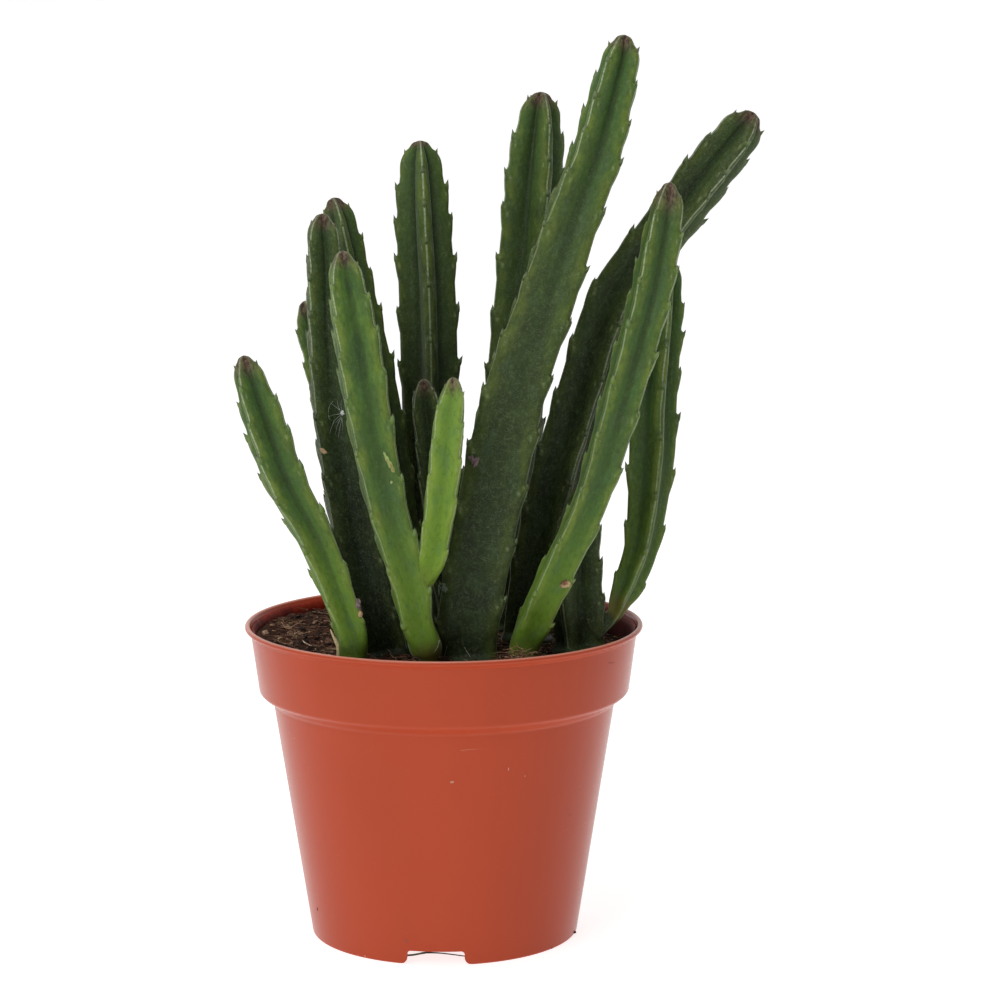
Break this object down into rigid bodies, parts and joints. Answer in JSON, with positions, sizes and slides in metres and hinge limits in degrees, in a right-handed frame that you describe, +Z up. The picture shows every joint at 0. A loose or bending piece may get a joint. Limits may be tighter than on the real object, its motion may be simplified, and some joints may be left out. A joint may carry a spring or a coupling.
{
  "type": "potted stapelia",
  "caption": "Toothed, ribbed succulent stems standing in soil in a tapered plastic nursery pot with a rolled rim and drainage slots.",
  "frame": {"origin": "on the surface that the pot stands on, at the middle of the whole plant's footprint; the pot's axis is 15.7 mm to its left, because the tallest stems lean right", "axes": "+Z up, +X to the right and +Y away from the viewer in the picture's view"},
  "size_m": [0.1377, 0.105, 0.2375],
  "materials": {
    "pot_plastic": "satin",
    "soil": "matte",
    "old_stem": "matte",
    "young_stem": "matte"
  },
  "bodies": {
    "root": {"pot": "pot_plastic", "soil": "soil", "stem_far_left": "young_stem", "stem_left_hidden": "old_stem", "stem_left_tall": "old_stem", "stem_left_back": "old_stem", "stem_front_forked": "young_stem", "stem_small_middle": "old_stem", "stem_middle_back": "old_stem", "stem_right_back": "old_stem", "stem_tallest": "old_stem", "stem_right_leaning": "old_stem", "stem_front_right": "young_stem", "stem_far_right_forked": "old_stem"}
  },
  "joints": []
}
